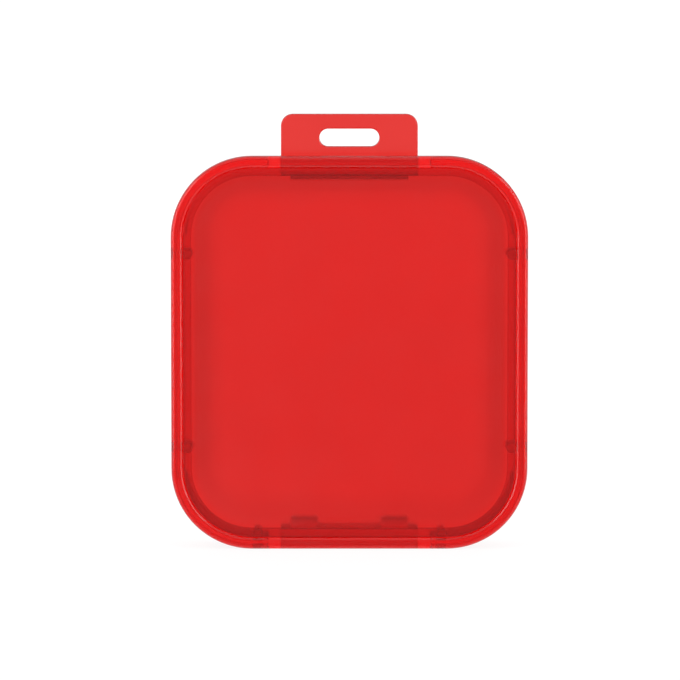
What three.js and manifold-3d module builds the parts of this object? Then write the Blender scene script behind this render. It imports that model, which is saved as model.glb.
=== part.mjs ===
// A clip-on red filter cap: a thin pane in a bordered frame, with a skirt behind it that slips
// over the square front of a small lamp, a spring latch with a pull tab at the top and a hooked
// spring latch at the bottom. Millimetres: X runs to the right, the front faces -Y and +Z is up.
// The origin is on the pane's centre line, in the plane where the lamp's front meets the frame.

import * as THREE from "three";
import { mergeVertices } from "three/addons/utils/BufferGeometryUtils.js";
import Module from "manifold-3d";

const wasm = await Module();
wasm.setup();

// Driving dimensions of the body.
const BODY_WIDTH = 45;
const BODY_HEIGHT = 49.7;
const BODY_DEPTH = 8.5;
const CORNER_RADIUS = 10.2;
const BEZEL_EDGE_ROUND = 0.45;

// The frame plate is a border with a rebate in front that the pane lies in.
const FRAME_THICKNESS = 2.3;
const BORDER = 1.5;
const PANE_RECESS = 0.25;
const PANE_THICKNESS = 1.3;
const PANE_CLEARANCE = 0.1;
const LEDGE_WIDTH = 1;

// The skirt wall stands behind the frame, set in a little from its edge.
const SKIRT_SET_IN = 0.5;
const SKIRT_THICKNESS = 1;

// Each latch is a tongue of the skirt, cut free by a relief slot on either side.
const LATCH_HALF_WIDTH = 8.7;
const RELIEF_SLOT = 1.6;
const LATCH_ROOT_GAP = 0.1;
const TOP_LATCH_THICKNESS = 1.8;
const BOTTOM_LATCH_THICKNESS = 2.3;

// The pull tab stands on the rear end of the top latch.
const TAB_WIDTH = 2 * LATCH_HALF_WIDTH;
const TAB_RISE = 5.05;
const TAB_THICKNESS = 1.6;
const TAB_CORNER = 1.5;
const TAB_SLOT_LENGTH = 7.6;
const TAB_SLOT_WIDTH = 2.25;
const TAB_SLOT_RISE = 2.05;

// What catches on the lamp's front.
const CATCH_HALF_LENGTH = 7.5;
const CATCH_HEIGHT = 0.9;
const LUG_OFFSET = 5.75;
const LUG_WIDTH = 3.35;
const LUG_HEIGHT = 1.2;
const RIDGE_HEIGHT = 0.3;
const RIDGE_CLEARANCE = 0.05;
const GRIP_NIB_WIDTH = 1.2;
const GRIP_NIB_HEIGHT = 1.1;
const CORNER_NIB_WIDTH = 1.1;
const CORNER_NIB_HEIGHT = 0.7;
const NIB_FRONT = 3.2;
const NIB_REAR = 8.2;
const GRIP_NIB_SPREAD = 12.3;
const CORNER_NIB_X = 11.7;

const ARC_SEGMENTS = 8; // half the straight steps round a quarter corner
const FAR = 100; // larger than the cap, for cutting blocks
const NO_FLAT = 0.001; // keeps the two arcs of a round end from meeting in one point

const bodyTop = BODY_HEIGHT / 2;
const skirtInner = SKIRT_SET_IN + SKIRT_THICKNESS;
const ledgeFront = PANE_RECESS + PANE_THICKNESS;
const topLatchOuter = bodyTop - SKIRT_SET_IN;
const topLatchInner = topLatchOuter - TOP_LATCH_THICKNESS;
const bottomLatchInner = BOTTOM_LATCH_THICKNESS - bodyTop;

const RED = { pane: 0xe23131, frame: 0xd92a2c, latch: 0xc4262a, tab: 0xe63c38 };

// Y of a point that lies a given depth behind the front face.
function atDepth(depth) {
  return depth - FRAME_THICKNESS;
}

// ---- outlines, drawn in the front view (X to the right, Z up) ----

function roundedRectangle(width, height, radius, middleZ = 0) {
  const x = width / 2 - radius;
  const z = height / 2 - radius;
  const quarter = Math.PI / 2;
  const shape = new THREE.Shape();
  shape.absarc(x, middleZ + z, radius, 0, quarter);
  shape.absarc(-x, middleZ + z, radius, quarter, 2 * quarter);
  shape.absarc(-x, middleZ - z, radius, 2 * quarter, 3 * quarter);
  shape.absarc(x, middleZ - z, radius, 3 * quarter, 4 * quarter);
  return shape;
}

// The body's outline, set in by the same distance all the way round.
function bodyOutline(setIn) {
  return roundedRectangle(
    BODY_WIDTH - 2 * setIn,
    BODY_HEIGHT - 2 * setIn,
    CORNER_RADIUS - setIn,
  );
}

// A border between two set-in outlines.
function border(outerSetIn, innerSetIn) {
  const shape = bodyOutline(outerSetIn);
  shape.holes.push(bodyOutline(innerSetIn));
  return shape;
}

// A round-ended nib whose flat back lies on a wall, facing into the cap at the given angle.
function nibOutline(wallX, wallZ, facing, width, height) {
  const radius = width / 2;
  const quarter = Math.PI / 2;
  const away = new THREE.Vector2(Math.cos(facing), Math.sin(facing));
  const foot = new THREE.Vector2(wallX, wallZ);
  const aside = new THREE.Vector2(away.y, -away.x).multiplyScalar(radius);
  const middle = away.clone().multiplyScalar(height - radius).add(foot);
  const shape = new THREE.Shape();
  shape.moveTo(foot.x - aside.x, foot.y - aside.y);
  shape.lineTo(foot.x + aside.x, foot.y + aside.y);
  shape.absarc(middle.x, middle.y, radius, facing - quarter, facing + quarter);
  return shape;
}

// ---- solids ----

// A front-view outline as a plate between two depths behind the front face.
function plate(shape, frontDepth, rearDepth, edge = 0) {
  const geometry = new THREE.ExtrudeGeometry(shape, {
    depth: rearDepth - frontDepth - 2 * edge,
    curveSegments: ARC_SEGMENTS,
    bevelEnabled: edge > 0,
    bevelThickness: edge,
    bevelSize: edge,
    bevelOffset: -edge,
    bevelSegments: 2,
  });
  geometry.rotateX(Math.PI / 2);
  geometry.translate(0, atDepth(rearDepth - edge), 0);
  return geometry;
}

// A side-view section, given as [depth, z] corners, drawn out along X.
function bar(corners, fromX, toX) {
  const points = corners.map(([depth, z]) => new THREE.Vector2(atDepth(depth), z));
  const geometry = new THREE.ExtrudeGeometry(new THREE.Shape(points), {
    depth: toX - fromX,
    bevelEnabled: false,
  });
  const alongX = new THREE.Matrix4().makeBasis(
    new THREE.Vector3(0, 1, 0),
    new THREE.Vector3(0, 0, 1),
    new THREE.Vector3(1, 0, 0),
  );
  geometry.applyMatrix4(alongX);
  geometry.translate(fromX, 0, 0);
  return geometry;
}

function toSolid(geometry) {
  const bare = geometry.clone();
  bare.deleteAttribute("normal");
  bare.deleteAttribute("uv");
  const merged = mergeVertices(bare, 1e-4);
  const mesh = new wasm.Mesh({
    numProp: 3,
    vertProperties: merged.attributes.position.array,
    triVerts: new Uint32Array(merged.index.array),
  });
  return new wasm.Manifold(mesh);
}

function toGeometry(solid) {
  const { vertProperties, triVerts } = solid.getMesh();
  const geometry = new THREE.BufferGeometry();
  geometry.setAttribute("position", new THREE.BufferAttribute(vertProperties, 3));
  geometry.setIndex(new THREE.BufferAttribute(triVerts, 1));
  const faceted = geometry.toNonIndexed();
  faceted.computeVertexNormals();
  return faceted;
}

// ---- the sub-parts ----

// The pane lies in the frame's rebate, a little below the border's front.
function filterPane() {
  return plate(bodyOutline(BORDER + PANE_CLEARANCE), PANE_RECESS, ledgeFront);
}

// The border round the pane, with the ledge behind it that the pane rests on.
function bezelFrame() {
  const rim = plate(border(0, BORDER), 0, ledgeFront + BEZEL_EDGE_ROUND, BEZEL_EDGE_ROUND);
  const ledge = plate(border(0, BORDER + LEDGE_WIDTH), ledgeFront, FRAME_THICKNESS);
  return toGeometry(toSolid(rim).add(toSolid(ledge)));
}

// One C-shaped side of the skirt: the side wall and both its corners, up to the relief slots.
function skirtSide(side) {
  const wall = plate(border(SKIRT_SET_IN, skirtInner), FRAME_THICKNESS, BODY_DEPTH);
  const kept = new THREE.BoxGeometry(FAR, FAR, FAR);
  const slotEnd = LATCH_HALF_WIDTH + RELIEF_SLOT;
  kept.translate(side * (slotEnd + FAR / 2), 0, 0);
  return toGeometry(toSolid(wall).intersect(toSolid(kept)));
}

// A tongue's flat section between two heights, from its root to the rear.
function tongue(lowZ, highZ) {
  const root = FRAME_THICKNESS + LATCH_ROOT_GAP;
  const section = [
    [root, lowZ],
    [BODY_DEPTH, lowZ],
    [BODY_DEPTH, highZ],
    [root, highZ],
  ];
  return bar(section, -LATCH_HALF_WIDTH, LATCH_HALF_WIDTH);
}

// The ear that a finger pulls to release the top latch, with a slot for a lanyard.
function pullTab() {
  const top = bodyTop + TAB_RISE;
  const half = TAB_WIDTH / 2;
  const shape = new THREE.Shape();
  shape.moveTo(-half, topLatchOuter);
  shape.lineTo(half, topLatchOuter);
  shape.absarc(half - TAB_CORNER, top - TAB_CORNER, TAB_CORNER, 0, Math.PI / 2);
  shape.absarc(TAB_CORNER - half, top - TAB_CORNER, TAB_CORNER, Math.PI / 2, Math.PI);
  const slotEndRadius = TAB_SLOT_WIDTH / 2 - NO_FLAT;
  const slotMiddle = bodyTop + TAB_SLOT_RISE;
  shape.holes.push(
    roundedRectangle(TAB_SLOT_LENGTH, TAB_SLOT_WIDTH, slotEndRadius, slotMiddle),
  );
  return plate(shape, BODY_DEPTH - TAB_THICKNESS, BODY_DEPTH);
}

// The bead inside the top latch: steep towards the front, ramped towards the rear.
function topCatch() {
  const section = [
    [6.3, topLatchInner],
    [6.5, topLatchInner - CATCH_HEIGHT],
    [6.9, topLatchInner - CATCH_HEIGHT],
    [8.1, topLatchInner],
  ];
  return bar(section, -CATCH_HALF_LENGTH, CATCH_HALF_LENGTH);
}

// A hook lug on the bottom latch, with its catching face to the front and its ramp to the rear.
function hookLug(side) {
  const base = bottomLatchInner;
  const section = [
    [5.6, base],
    [8.1, base],
    [8.1, base + 0.4],
    [6.4, base + LUG_HEIGHT],
    [5.7, base + LUG_HEIGHT],
  ];
  const middle = side * LUG_OFFSET;
  return bar(section, middle - LUG_WIDTH / 2, middle + LUG_WIDTH / 2);
}

// The low ridge that joins the feet of the two hook lugs.
function latchRidge() {
  const base = bottomLatchInner;
  const half = LUG_OFFSET - LUG_WIDTH / 2 - RIDGE_CLEARANCE;
  const section = [
    [6, base],
    [7.6, base],
    [6.7, base + RIDGE_HEIGHT],
    [6.1, base + RIDGE_HEIGHT],
  ];
  return bar(section, -half, half);
}

// A nib on the inside of a side wall, which grips the lamp's front.
function gripNib(side, z) {
  const wallX = side * (BODY_WIDTH / 2 - skirtInner);
  const facing = side > 0 ? Math.PI : 0;
  const outline = nibOutline(wallX, z, facing, GRIP_NIB_WIDTH, GRIP_NIB_HEIGHT);
  return plate(outline, NIB_FRONT, NIB_REAR);
}

// A nib near the end of a bottom corner's wall, facing up.
function cornerNib(side) {
  const wallZ = skirtInner - bodyTop;
  const x = side * CORNER_NIB_X;
  const outline = nibOutline(x, wallZ, Math.PI / 2, CORNER_NIB_WIDTH, CORNER_NIB_HEIGHT);
  return plate(outline, NIB_FRONT, NIB_REAR);
}

// ---- assembly ----

const cap = new THREE.Group();

function add(name, geometry, color, roughness) {
  const material = new THREE.MeshStandardMaterial({ color, roughness, metalness: 0 });
  const mesh = new THREE.Mesh(geometry, material);
  mesh.name = name;
  cap.add(mesh);
}

add("filter_pane", filterPane(), RED.pane, 0.25);
add("bezel_frame", bezelFrame(), RED.frame, 0.15);
add("top_latch", tongue(topLatchInner, topLatchOuter), RED.latch, 0.15);
add("top_catch", topCatch(), RED.latch, 0.15);
add("pull_tab", pullTab(), RED.tab, 0.2);
add("bottom_latch", tongue(-bodyTop, bottomLatchInner), RED.latch, 0.15);
add("latch_ridge", latchRidge(), RED.latch, 0.15);

for (const [word, side] of [["left", -1], ["right", 1]]) {
  add(`skirt_${word}`, skirtSide(side), RED.frame, 0.15);
  add(`hook_lug_${word}`, hookLug(side), RED.latch, 0.15);
  add(`corner_nib_${word}`, cornerNib(side), RED.frame, 0.15);
  add(`grip_nib_upper_${word}`, gripNib(side, GRIP_NIB_SPREAD), RED.frame, 0.15);
  add(`grip_nib_lower_${word}`, gripNib(side, -GRIP_NIB_SPREAD), RED.frame, 0.15);
}

export default cap;
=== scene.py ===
"""A clip-on red filter cap in translucent moulded plastic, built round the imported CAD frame."""

import math

import bmesh
import bpy
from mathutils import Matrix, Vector
from mathutils.geometry import tessellate_polygon


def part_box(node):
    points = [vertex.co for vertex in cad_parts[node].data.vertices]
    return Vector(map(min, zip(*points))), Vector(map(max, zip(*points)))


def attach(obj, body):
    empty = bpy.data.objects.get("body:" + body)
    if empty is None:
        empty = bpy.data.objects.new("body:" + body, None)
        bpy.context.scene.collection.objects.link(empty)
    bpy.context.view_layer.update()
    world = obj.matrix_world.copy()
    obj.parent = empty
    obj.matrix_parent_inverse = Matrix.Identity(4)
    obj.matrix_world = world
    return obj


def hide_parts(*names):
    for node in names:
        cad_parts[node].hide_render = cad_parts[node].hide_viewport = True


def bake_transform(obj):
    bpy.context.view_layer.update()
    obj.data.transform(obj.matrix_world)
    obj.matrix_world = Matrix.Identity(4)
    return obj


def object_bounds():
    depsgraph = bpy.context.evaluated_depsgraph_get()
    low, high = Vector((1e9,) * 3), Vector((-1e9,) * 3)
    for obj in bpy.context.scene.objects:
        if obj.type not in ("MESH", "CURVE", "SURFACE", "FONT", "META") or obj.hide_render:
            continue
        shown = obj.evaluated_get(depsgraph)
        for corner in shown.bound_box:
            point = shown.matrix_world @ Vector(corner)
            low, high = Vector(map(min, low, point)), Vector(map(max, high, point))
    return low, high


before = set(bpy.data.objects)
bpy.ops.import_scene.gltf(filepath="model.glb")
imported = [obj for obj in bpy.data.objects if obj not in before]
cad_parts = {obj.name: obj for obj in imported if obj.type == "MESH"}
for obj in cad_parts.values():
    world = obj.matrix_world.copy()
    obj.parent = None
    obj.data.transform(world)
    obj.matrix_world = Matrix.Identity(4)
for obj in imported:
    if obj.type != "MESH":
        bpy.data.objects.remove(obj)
cad_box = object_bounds()

MM = 0.001

# Sizes that no CAD box gives.
CORNER_RADIUS = 10.2 * MM
BORDER = 1.5 * MM
LEDGE_WIDTH = 1.0 * MM
SUNK = 0.02 * MM  # how far a moulded-on feature reaches into what carries it
END_ROUND = 0.15 * MM
PEEL = 0.003 * MM  # height of the moulding's gentle waves
PAINTED_SHADE_REACH = 8 * MM  # how far in from the outline the painted shade's stops may lie
CORNER_STEPS = 24
FILLET_STEPS = 5

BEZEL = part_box("bezel_frame")
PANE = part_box("filter_pane")
SKIRT = {"left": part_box("skirt_left"), "right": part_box("skirt_right")}
HALF_WIDTH = BEZEL[1].x
HALF_HEIGHT = BEZEL[1].z
SEAT_Y = BEZEL[1].y
FRONT_Y = BEZEL[0].y
REAR_Y = SKIRT["left"][1].y
WALL_INNER = 1.5 * MM  # how far the skirt's inner face is set in from the body's outline


# ---- outlines and sections ----


def fillet(before, corner, after, radius, steps):
    """Points of the arc that rounds one corner of a section."""
    a = Vector(before) - Vector(corner)
    b = Vector(after) - Vector(corner)
    angle = a.angle(b)
    reach = min(radius / math.tan(angle / 2), 0.49 * a.length, 0.49 * b.length)
    radius = reach * math.tan(angle / 2)
    middle = Vector(corner) + (a.normalized() + b.normalized()).normalized() * radius / math.sin(angle / 2)
    start = Vector(corner) + a.normalized() * reach - middle
    turn = math.pi - angle
    side = 1 if a.x * b.y - a.y * b.x < 0 else -1
    points = []
    for i in range(steps + 1):
        t = side * turn * i / steps
        c, s = math.cos(t), math.sin(t)
        points.append(middle + Vector((start.x * c - start.y * s, start.x * s + start.y * c)))
    return points


def section(corners, steps=FILLET_STEPS):
    """A closed section or outline from (a, b, radius) corners, each rounded by its radius."""
    points = []
    count = len(corners)
    for i, (a, b, radius) in enumerate(corners):
        if radius <= 0:
            points.append(Vector((a, b)))
            continue
        before = corners[i - 1][:2]
        after = corners[(i + 1) % count][:2]
        points += fillet(before, (a, b), after, radius, steps)
    return points


def divided(points, step):
    """The same section with its long edges divided, so that it can bend."""
    out = []
    for i, p in enumerate(points):
        q = points[(i + 1) % len(points)]
        parts = max(1, math.ceil((q - p).length / step))
        out += [p.lerp(q, k / parts) for k in range(parts)]
    return out


def shrunk(points, by):
    """The section moved inwards by the same distance all round."""
    area = sum(p.x * q.y - q.x * p.y for p, q in zip(points, points[1:] + points[:1]))
    way = 1 if area > 0 else -1
    out = []
    for i, p in enumerate(points):
        e = (p - points[i - 1]).normalized()
        f = (points[(i + 1) % len(points)] - p).normalized()
        n = Vector((-e.y - f.y, e.x + f.x)) * way
        n.normalize()
        cos_half = max(0.5, n.dot(Vector((-e.y, e.x)) * way))
        out.append(p + n * by / cos_half)
    return out


def end_steps(low, high, edge=END_ROUND, steps=3):
    """(place, shrink) of each ring along a bar whose ends are rounded."""
    turns = [math.pi / 2 * i / steps for i in range(steps + 1)]
    start = [(low + edge * (1 - math.cos(t)), edge * (1 - math.sin(t))) for t in turns]
    end = [(high - edge * (1 - math.cos(t)), edge * (1 - math.sin(t))) for t in reversed(turns)]
    return start + end


def outline_stations():
    """(corner middle, outward direction) of each station round the body's outline, in X and Z."""
    x = HALF_WIDTH - CORNER_RADIUS
    z = HALF_HEIGHT - CORNER_RADIUS
    middles = [(x, z), (-x, z), (-x, -z), (x, -z)]
    stations = []
    for quarter, middle in enumerate(middles):
        for i in range(CORNER_STEPS + 1):
            angle = math.pi / 2 * (quarter + i / CORNER_STEPS)
            stations.append((Vector(middle), Vector((math.cos(angle), math.sin(angle)))))
    return stations


def on_outline(station, set_in, y):
    middle, out = station
    p = middle + out * (CORNER_RADIUS - set_in)
    return Vector((p.x, y, p.y))


# ---- meshes ----


def loft(name, rings, closed=False):
    """A mesh through rings of equal length, closed on itself or capped at both ends."""
    bm = bmesh.new()
    rows = [[bm.verts.new(p) for p in ring] for ring in rings]
    pairs = list(zip(rows, rows[1:]))
    if closed:
        pairs.append((rows[-1], rows[0]))
    count = len(rows[0])
    for low, high in pairs:
        for i in range(count):
            j = (i + 1) % count
            bm.faces.new((low[i], low[j], high[j], high[i]))
    if not closed:
        bm.faces.new(rows[0])
        bm.faces.new(rows[-1])
    return finished(name, bm)


def finished(name, bm, weighted=True):
    """The object of a bmesh, smooth, and if weighted with normals that keep its flats flat."""
    bmesh.ops.recalc_face_normals(bm, faces=bm.faces)
    mesh = bpy.data.meshes.new(name)
    bm.to_mesh(mesh)
    bm.free()
    mesh.shade_smooth()
    mesh.set_sharp_from_angle(angle=math.radians(40))
    obj = bpy.data.objects.new(name, mesh)
    bpy.context.scene.collection.objects.link(obj)
    if weighted:
        normals = obj.modifiers.new("flat faces", "WEIGHTED_NORMAL")
        normals.mode = "FACE_AREA"
        normals.weight = 80
        normals.keep_sharp = True
    return obj


def bar_along_x(name, points, low, high, edge=END_ROUND):
    """A (y, z) section drawn out along X, with rounded ends."""
    rings = []
    for x, by in end_steps(low, high, edge):
        rings.append([Vector((x, p.x, p.y)) for p in shrunk(points, by)])
    return loft(name, rings)


def bar_along_y(name, points, low, high, edge=END_ROUND):
    """An (x, z) section drawn out along Y, with rounded ends."""
    rings = []
    for y, by in end_steps(low, high, edge):
        rings.append([Vector((p.x, y, p.y)) for p in shrunk(points, by)])
    return loft(name, rings)


# ---- materials ----


class Nodes:
    """Short calls for building one material's node tree."""

    def __init__(self, name):
        self.material = bpy.data.materials.new(name)
        self.material.use_nodes = True
        self.tree = self.material.node_tree
        self.shader = self.tree.nodes["Principled BSDF"]
        self.output = self.tree.nodes["Material Output"]
        coordinates = self.add("ShaderNodeTexCoord")
        self.position = coordinates.outputs["Object"]

    def add(self, kind, **inputs):
        node = self.tree.nodes.new(kind)
        for key, value in inputs.items():
            node.inputs[key.replace("_", " ")].default_value = value
        return node

    def link(self, source, target):
        self.tree.links.new(source, target)

    def noise(self, scale, detail=2.0):
        node = self.add("ShaderNodeTexNoise", Scale=scale, Detail=detail)
        self.link(self.position, node.inputs["Vector"])
        return node.outputs["Fac"]

    def math(self, operation, first, second=0.0):
        node = self.tree.nodes.new("ShaderNodeMath")
        node.operation = operation
        for socket, value in zip(node.inputs, (first, second)):
            if isinstance(value, (int, float)):
                socket.default_value = value
            else:
                self.link(value, socket)
        return node.outputs["Value"]

    def set_in(self, lift=0.0):
        """How far a point is set in from the body's outline, in metres, up to the corner radius."""
        axes = self.add("ShaderNodeSeparateXYZ")
        self.link(self.position, axes.inputs["Vector"])
        x = self.math("ABSOLUTE", axes.outputs["X"])
        z = self.math("ABSOLUTE", self.math("SUBTRACT", axes.outputs["Z"], lift))
        beyond_x = self.math("MAXIMUM", self.math("SUBTRACT", x, HALF_WIDTH - CORNER_RADIUS), 0.0)
        beyond_z = self.math("MAXIMUM", self.math("SUBTRACT", z, HALF_HEIGHT - CORNER_RADIUS), 0.0)
        squares = self.math("ADD", self.math("POWER", beyond_x, 2.0), self.math("POWER", beyond_z, 2.0))
        return self.math("SUBTRACT", CORNER_RADIUS, self.math("SQRT", squares))

    def ramp(self, source, reach, stops):
        """A grey between (place, level) stops, with places from 0 to reach."""
        node = self.tree.nodes.new("ShaderNodeValToRGB")
        self.link(self.math("DIVIDE", source, reach), node.inputs["Fac"])
        elements = node.color_ramp.elements
        while len(elements) < len(stops):
            elements.new(0.5)
        for element, (place_at, level) in zip(elements, stops):
            element.position = place_at / reach
            element.color = (level, level, level, 1)
        return node.outputs["Color"]

    def times(self, first, second, share=1.0):
        """The first colour, multiplied by the second for a share of it."""
        node = self.tree.nodes.new("ShaderNodeMix")
        node.data_type = "RGBA"
        node.blend_type = "MULTIPLY"
        colours = [s for s in node.inputs if s.type == "RGBA"]
        self.link(first, colours[0])
        self.link(second, colours[1])
        if isinstance(share, float):
            node.inputs[0].default_value = share
        else:
            self.link(share, node.inputs[0])
        return next(s for s in node.outputs if s.type == "RGBA")

    def spread(self, source, low, high, from_low=0.3, from_high=0.7):
        """A value mapped to low and high, and held there beyond them."""
        node = self.add("ShaderNodeMapRange")
        node.inputs["From Min"].default_value = from_low
        node.inputs["From Max"].default_value = from_high
        node.inputs["To Min"].default_value = low
        node.inputs["To Max"].default_value = high
        self.link(source, node.inputs["Value"])
        return node.outputs["Result"]

    def mixed(self, share, first, second):
        """A colour between two, by a share from 0 to 1."""
        node = self.tree.nodes.new("ShaderNodeMix")
        node.data_type = "RGBA"
        colours = [s for s in node.inputs if s.type == "RGBA"]
        colours[0].default_value = (*first, 1)
        colours[1].default_value = (*second, 1)
        self.link(share, node.inputs[0])
        return next(s for s in node.outputs if s.type == "RGBA")

    def bump(self, height, distance):
        node = self.add("ShaderNodeBump", Strength=1.0, Distance=distance)
        self.link(height, node.inputs["Height"])
        return node.outputs["Normal"]


def red_plastic(name, per_mm, level, roughness, stops=None, lift=0.0, faded_below=None, clear_rim=False):
    """Clear red acrylic: tinted by its depth, with a moulded surface.

    per_mm is how much red, green and blue light a millimetre takes, and level what the faces let
    through. The stops are (set-in, level) pairs of painted shade, which darken the plastic's colour by
    how far a point is set in from the body's outline, which lift moves up. From the upper of the two
    heights in faded_below down to the lower one, that painted shade fades to three tenths. A clear rim is
    less frosted."""
    m = Nodes(name)
    shader = m.shader
    shader.inputs["Transmission Weight"].default_value = 1.0
    shader.inputs["IOR"].default_value = 1.47
    cloud = m.noise(140.0, 3.0)
    light = (level, 0.95 * level, 0.95 * level)
    tint = m.mixed(m.spread(cloud, 0, 1), light, tuple(0.97 * part for part in light))
    if stops:
        # Painted shade: the colour is darkened by how far a point is set in from the outline.
        shade = m.ramp(m.set_in(lift), PAINTED_SHADE_REACH, stops)
        share = 1.0
        if faded_below:
            axes = m.add("ShaderNodeSeparateXYZ")
            m.link(m.position, axes.inputs["Vector"])
            share = m.spread(axes.outputs["Z"], 0.3, 1.0, *faded_below)
        tint = m.times(tint, shade, share)
    m.link(tint, shader.inputs["Base Color"])
    satin = m.spread(m.noise(220.0, 1.0), roughness * 0.9, roughness * 1.1)
    if clear_rim:
        satin = m.math("MULTIPLY", satin, m.spread(m.set_in(), 0.35, 1.0, 2.3 * MM, 3.4 * MM))
    m.link(satin, shader.inputs["Roughness"])
    m.link(m.bump(m.noise(420.0, 2.0), PEEL), shader.inputs["Normal"])
    density = max(per_mm) / MM
    volume = m.add("ShaderNodeVolumeAbsorption", Density=density)
    volume.inputs["Color"].default_value = (*(1 - a / MM / density for a in per_mm), 1)
    m.link(volume.outputs["Volume"], m.output.inputs["Volume"])
    return m.material


# Painted shade on the window: a darker band just inside its border, where the skirt's shadow would fall,
# fading out towards the bottom.
PANE_PAINTED_SHADE = [
    (2.4 * MM, 1.0),
    (2.8 * MM, 0.92),
    (3.2 * MM, 0.84),
    (4.0 * MM, 0.83),
    (4.8 * MM, 0.87),
    (5.5 * MM, 0.94),
    (6.9 * MM, 1.0),
]
# Painted shade on the latch tongues: darker near the body's outline, where the top and bottom walls lie in
# shade.
LOW_LATCH_PAINTED_SHADE = [(0.2 * MM, 0.78), (1.0 * MM, 0.8), (1.6 * MM, 1.0)]
TOP_LATCH_PAINTED_SHADE = [(0.2 * MM, 0.57), (0.8 * MM, 0.64), (1.4 * MM, 1.0)]
PANE_PLASTIC = red_plastic(
    "pane_plastic", (0.02, 3.4, 3.6), 0.725, 0.24, PANE_PAINTED_SHADE, 0.7 * MM, (-20 * MM, -13 * MM), clear_rim=True
)
BEZEL_PLASTIC = red_plastic("bezel_plastic", (0.01, 2.3, 2.3), 0.87, 0.16)
WALL_PLASTIC = red_plastic("wall_plastic", (0.003, 2.3, 2.3), 1.0, 0.16)
TOP_LATCH_PLASTIC = red_plastic("top_latch_plastic", (0.003, 2.3, 2.3), 1.0, 0.22, TOP_LATCH_PAINTED_SHADE)
LOW_LATCH_PLASTIC = red_plastic("low_latch_plastic", (0.003, 2.3, 2.3), 1.0, 0.22, LOW_LATCH_PAINTED_SHADE)
BEAD_PLASTIC = red_plastic("bead_plastic", (0.003, 1.8, 1.8), 1.0, 0.55)
LUG_PLASTIC = red_plastic("lug_plastic", (0.05, 2.3, 2.3), 1.0, 0.3)
TAB_PLASTIC = red_plastic("tab_plastic", (0.1, 2.0, 2.1), 0.87, 0.12)


def place(obj, body, slot, material, *nodes):
    obj.data.materials.append(material)
    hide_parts(*nodes)
    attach(obj, body)
    return obj


# ---- the cap's pieces ----


def make_pane():
    """The window: a flat plate with a rounded rim, and a flat band between rim and window."""
    front, rear = PANE[0].y, PANE[1].y + SUNK / 2
    rim = BORDER - SUNK
    flat = rim + 0.4 * MM
    steps = 4
    edge = 0.06 * MM
    profile = [(flat, front)]
    for i in range(steps + 1):
        t = math.pi / 2 * i / steps
        profile.append((rim + edge * (1 - math.sin(t)), front + edge * (1 - math.cos(t))))
    for i in range(steps + 1):
        t = math.pi / 2 * i / steps
        profile.append((rim + edge * (1 - math.cos(t)), rear - edge * (1 - math.sin(t))))
    profile.append((flat, rear))
    stations = outline_stations()
    rings = [[on_outline(s, set_in, y) for s in stations] for set_in, y in profile]
    pane = loft("filter_pane_window", rings)
    return place(pane, "cap_body", "filter_plastic", PANE_PLASTIC, "filter_pane")


def make_bezel():
    """The border round the window, with the ledge behind that the window sits on."""
    ledge_front = PANE[1].y
    inner = BORDER + LEDGE_WIDTH
    corners = [
        (0, FRONT_Y, 0.55 * MM),
        (BORDER, FRONT_Y, 0.5 * MM),
        (BORDER, ledge_front, 0.08 * MM),
        (inner, ledge_front, 0.03 * MM),
        (inner, SEAT_Y, 0.08 * MM),
        (0, SEAT_Y, 0.15 * MM),
    ]
    profile = section(corners)
    rings = [[on_outline(s, p.x, p.y) for p in profile] for s in outline_stations()]
    bezel = loft("bezel_border", rings, closed=True)
    return place(bezel, "cap_body", "frame_plastic", BEZEL_PLASTIC, "bezel_frame")


def wall_section():
    """(set-in, y) section of the skirt: flared at its root, drafted, with a rounded rim."""
    outer = HALF_WIDTH - SKIRT["right"][1].x
    inner = WALL_INNER
    root = SEAT_Y - SUNK
    flare = 0.2 * MM
    inner_flare = 0.06 * MM
    draft = 0.06 * MM
    return section(
        [
            (outer - flare, root, 0),
            (outer - flare * 0.4, SEAT_Y + flare * 0.2, 0.1 * MM),
            (outer, SEAT_Y + flare, 0.3 * MM),
            (outer + draft / 2, REAR_Y, 0.25 * MM),
            (inner - draft, REAR_Y, 0.25 * MM),
            (inner, SEAT_Y + inner_flare, 0.1 * MM),
            (inner + inner_flare, root, 0),
        ]
    )


def make_skirt(word, side):
    """One C-shaped side of the skirt, with rounded ends beside the relief slots."""
    gap = min(abs(SKIRT[word][0].x), abs(SKIRT[word][1].x))
    profile = wall_section()
    x = HALF_WIDTH - CORNER_RADIUS
    z = HALF_HEIGHT - CORNER_RADIUS
    top, low = [], []
    top_end, low_end = [], []
    steps = 3
    for along, by in end_steps(gap, x, 0.2 * MM, steps)[: steps + 1]:
        slim = shrunk(profile, by)
        top_end.append([Vector((side * along, p.y, z + CORNER_RADIUS - p.x)) for p in slim])
        low_end.append([Vector((side * along, p.y, p.x - z - CORNER_RADIUS)) for p in slim])
    for i in range(CORNER_STEPS + 1):
        angle = math.pi / 2 * (1 - i / CORNER_STEPS)
        out = Vector((side * math.cos(angle), math.sin(angle)))
        top.append([on_outline((Vector((side * x, z)), out), p.x, p.y) for p in profile])
        under = Vector((side * math.sin(angle), -math.cos(angle)))
        low.append([on_outline((Vector((side * x, -z)), under), p.x, p.y) for p in profile])
    low_end.reverse()
    skirt = loft(f"skirt_wall_{word}", top_end + top + low + low_end)
    return place(skirt, "cap_body", "frame_plastic", WALL_PLASTIC, f"skirt_{word}")


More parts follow.
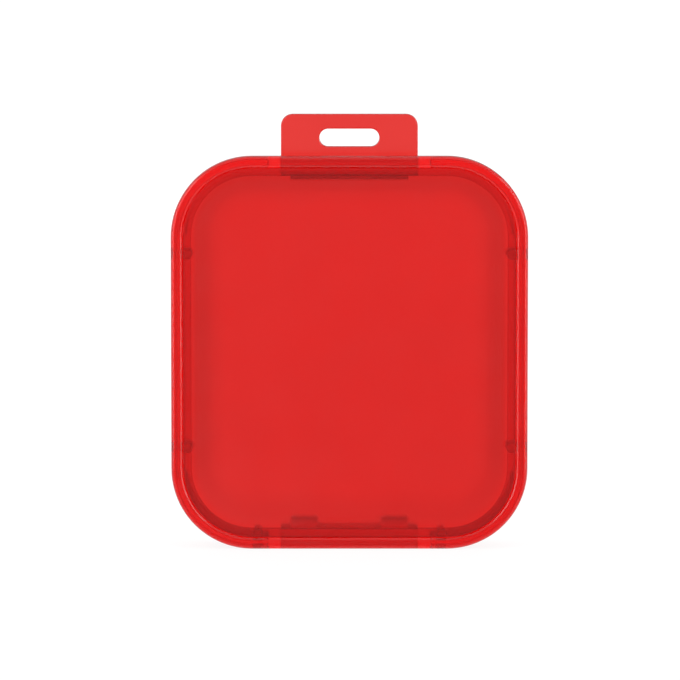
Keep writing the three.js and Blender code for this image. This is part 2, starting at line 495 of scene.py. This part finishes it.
def make_nib(node, wall_direction):
    """A round-ended nib, sunk a little into the wall that carries it."""
    low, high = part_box(node)
    middle = (low + high) / 2
    out = Vector(wall_direction)
    across = Vector((-out.y, out.x))
    size = Vector((high.x - low.x, high.z - low.z))
    tall = abs(size.dot(Vector((abs(out.x), abs(out.y)))))
    wide = abs(size.dot(Vector((abs(across.x), abs(across.y)))))
    foot = Vector((middle.x, middle.z)) - out * (tall / 2)
    points = [foot + across * wide / 2 - out * 3 * SUNK]
    steps = 14
    for i in range(steps + 1):
        t = math.pi * i / steps
        rise = tall - wide / 2 * (1 - math.sin(t))
        points.append(foot + across * (wide / 2 * math.cos(t)) + out * rise)
    points.append(foot - across * wide / 2 - out * 3 * SUNK)
    nib = bar_along_y(node + "_rib", points, low.y, high.y, 0.1 * MM)
    return place(nib, "cap_body", "frame_plastic", BEAD_PLASTIC, node)


def make_tongue(node, outer_z, inner_z, name, material):
    """A latch tongue that bends at its root, where it grows out of the frame."""
    low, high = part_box(node)
    way = 1 if outer_z > inner_z else -1
    thin = 0.05 * MM * way
    corners = [
        (SEAT_Y - SUNK, outer_z, 0),
        (REAR_Y, outer_z, 0.2 * MM),
        (REAR_Y, inner_z + thin, 0.14 * MM),
        (SEAT_Y + 0.1 * MM, inner_z, 0.1 * MM),
        (SEAT_Y - SUNK, inner_z - 2 * thin, 0),
    ]
    if way < 0:
        corners.reverse()
    points = divided(section(corners), 0.4 * MM)
    tongue = bar_along_x(name, points, low.x, high.x, 0.12 * MM)
    tongue.data.materials.append(material)
    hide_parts(node)
    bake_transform(tongue)
    return tongue


def make_bar(node, body, name, shape, material, edge=0.12 * MM):
    """A bar across a latch, from a function of its CAD box that gives the (y, z) corners."""
    low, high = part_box(node)
    bar = bar_along_x(name, section(shape(low, high)), low.x, high.x, edge)
    return place(bar, body, "latch_plastic", material, node)


def catch_shape(low, high):
    return [
        (low.y, high.z + SUNK, 0),
        (low.y + 0.2 * MM, low.z, 0.3 * MM),
        (high.y - 0.8 * MM, low.z, 0.8 * MM),
        (high.y, high.z + SUNK, 0),
    ]


def lug_shape(low, high):
    return [
        (low.y, low.z - SUNK, 0),
        (high.y, low.z - SUNK, 0),
        (high.y, low.z + 0.4 * MM, 0.2 * MM),
        (low.y + 0.8 * MM, high.z, 0.35 * MM),
        (low.y + 0.1 * MM, high.z, 0.15 * MM),
    ]


def ridge_shape(low, high):
    return [
        (low.y, low.z - SUNK, 0),
        (high.y, low.z - SUNK, 0),
        (low.y + 0.7 * MM, high.z, 0.3 * MM),
        (low.y + 0.1 * MM, high.z, 0.2 * MM),
    ]


def make_tab():
    """The slotted ear on the top latch, with rounded edges outside and in the slot."""
    low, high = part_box("pull_tab")
    corner = 1.5 * MM
    arc_steps = 10
    outline = section(
        [
            (low.x, low.z - SUNK, 0),
            (high.x, low.z - SUNK, 0),
            (high.x, high.z, corner),
            (low.x, high.z, corner),
        ],
        arc_steps,
    )
    slot_drop = 3.0 * MM
    middle = high.z - slot_drop
    half_long, half_tall = 3.8 * MM, 1.125 * MM
    end = half_tall * 0.999  # just short of a half circle, so that no two points meet
    slot = section(
        [
            (-half_long, middle - half_tall, end),
            (half_long, middle - half_tall, end),
            (half_long, middle + half_tall, end),
            (-half_long, middle + half_tall, end),
        ],
        arc_steps,
    )
    bm = bmesh.new()
    rows = []
    edge, edge_steps = 0.17 * MM, 4
    for y, by in end_steps(low.y, high.y, edge, edge_steps):
        rows.append([bm.verts.new((p.x, y, p.y)) for p in shrunk(outline, by) + shrunk(slot, -by)])
    loops = [range(len(outline)), range(len(outline), len(outline) + len(slot))]
    for near, far in zip(rows, rows[1:]):
        for loop in loops:
            for i, k in enumerate(loop):
                after = loop[(i + 1) % len(loop)]
                bm.faces.new((near[k], near[after], far[after], far[k]))
    for row in (rows[0], rows[-1]):
        for triangle in tessellate_polygon([[row[k].co for k in loop] for loop in loops]):
            bm.faces.new([row[k] for k in triangle])
    # The two flat faces are many thin triangles, which only flat shading shows evenly.
    tab = finished("pull_tab_ear", bm, weighted=False)
    for polygon in tab.data.polygons:
        polygon.use_smooth = abs(polygon.normal.y) < 0.999
    return place(tab, "upper_latch", "latch_plastic", TAB_PLASTIC, "pull_tab")


make_pane()
make_bezel()
for word, side in (("left", -1), ("right", 1)):
    make_skirt(word, side)
    for level in ("upper", "lower"):
        make_nib(f"grip_nib_{level}_{word}", (-side, 0))
    make_nib(f"corner_nib_{word}", (0, 1))
    make_bar(f"hook_lug_{word}", "lower_latch", f"hook_lug_{word}_hook", lug_shape, LUG_PLASTIC)

low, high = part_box("top_latch")
make_tongue("top_latch", high.z, low.z, "top_latch_tongue", TOP_LATCH_PLASTIC)
low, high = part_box("bottom_latch")
make_tongue("bottom_latch", low.z, high.z, "bottom_latch_tongue", LOW_LATCH_PLASTIC)
make_bar("top_catch", "upper_latch", "top_catch_bead", catch_shape, BEAD_PLASTIC)
make_bar("latch_ridge", "lower_latch", "latch_ridge_bead", ridge_shape, BEAD_PLASTIC)
make_tab()


# ---- the studio ----


def make_world():
    """A white room, which only mirrored rays see dimmer in front of and behind the cap."""
    room, mirrored_room = 1.06, 0.39
    world = bpy.data.worlds.new("white studio")
    world.use_nodes = True
    tree = world.node_tree
    background = tree.nodes["Background"]
    background.inputs["Color"].default_value = (1, 1, 1, 1)
    where = tree.nodes.new("ShaderNodeTexCoord")
    axes = tree.nodes.new("ShaderNodeSeparateXYZ")
    along = tree.nodes.new("ShaderNodeMath")
    along.operation = "ABSOLUTE"
    dimmed = tree.nodes.new("ShaderNodeMapRange")
    dimmed.interpolation_type = "SMOOTHSTEP"
    for name, value in (("From Min", 0.55), ("From Max", 0.97), ("To Min", room), ("To Max", mirrored_room)):
        dimmed.inputs[name].default_value = value
    path = tree.nodes.new("ShaderNodeLightPath")
    mirrored = tree.nodes.new("ShaderNodeMath")
    mirrored.operation = "SUBTRACT"
    mirrored.use_clamp = True
    chosen = tree.nodes.new("ShaderNodeMix")
    chosen.inputs["A"].default_value = room
    link = tree.links.new
    link(where.outputs["Generated"], axes.inputs["Vector"])
    link(axes.outputs["Y"], along.inputs[0])
    link(along.outputs["Value"], dimmed.inputs["Value"])
    link(dimmed.outputs["Result"], chosen.inputs["B"])
    link(path.outputs["Is Glossy Ray"], mirrored.inputs[0])
    link(path.outputs["Is Transmission Ray"], mirrored.inputs[1])
    link(mirrored.outputs["Value"], chosen.inputs["Factor"])
    link(chosen.outputs["Result"], background.inputs["Strength"])
    bpy.context.scene.world = world


def make_floor():
    """A light table under the cap, which glows a little more further out."""
    half_width = 12.0
    bm = bmesh.new()
    bmesh.ops.create_grid(bm, x_segments=1, y_segments=1, size=half_width)
    for v in bm.verts:
        v.co.z = cad_box[0].z
    mesh = bpy.data.meshes.new("studio_floor")
    bm.to_mesh(mesh)
    bm.free()
    floor = bpy.data.objects.new("studio_floor", mesh)
    floor.visible_glossy = False
    bpy.context.scene.collection.objects.link(floor)
    m = Nodes("white light table")
    tone = m.spread(m.noise(6.0, 4.0), 0, 1)
    m.link(m.mixed(tone, (0.13, 0.13, 0.13), (0.11, 0.11, 0.11)), m.shader.inputs["Base Color"])
    m.shader.inputs["Emission Color"].default_value = (1, 1, 1, 1)
    reach = m.add("ShaderNodeVectorMath")
    reach.operation = "LENGTH"
    m.link(m.position, reach.inputs[0])
    m.link(m.spread(reach.outputs["Value"], 0.88, 0.97, 0.1, 0.7), m.shader.inputs["Emission Strength"])
    m.shader.inputs["Roughness"].default_value = 0.9
    m.shader.inputs["Specular IOR Level"].default_value = 0.1
    mesh.materials.append(m.material)


def make_softbox(name, place_at, aim, size, power):
    light = bpy.data.lights.new(name, "AREA")
    light.shape = "RECTANGLE"
    light.size, light.size_y = size
    light.energy = power
    obj = bpy.data.objects.new(name, light)
    obj.location = place_at
    obj.rotation_mode = "QUATERNION"
    obj.rotation_quaternion = (Vector(aim) - Vector(place_at)).to_track_quat("-Z", "Y")
    bpy.context.scene.collection.objects.link(obj)


def make_camera():
    """A long lens in front of the cap, a few degrees above it."""
    data = bpy.data.cameras.new("studio camera")
    data.lens = 250
    data.sensor_width = 36
    data.clip_start, data.clip_end = 0.01, 100
    elevation = math.radians(5)
    distance = 0.595
    aim = Vector((-1.19 * MM, FRONT_Y, 1.71 * MM))
    camera = bpy.data.objects.new("studio camera", data)
    camera.location = aim + distance * Vector((0, -math.cos(elevation), math.sin(elevation)))
    camera.rotation_euler = (math.pi / 2 - elevation, 0, 0)
    bpy.context.scene.collection.objects.link(camera)
    bpy.context.scene.camera = camera


make_world()
make_floor()
for word, side in (("left", -1), ("right", 1)):
    make_softbox(f"{word} softbox", (side * 0.45, -0.25, 0.15), (0, 0, 0), (0.35, 0.5), 1.2)
make_camera()
bpy.context.scene.view_settings.view_transform = "Standard"
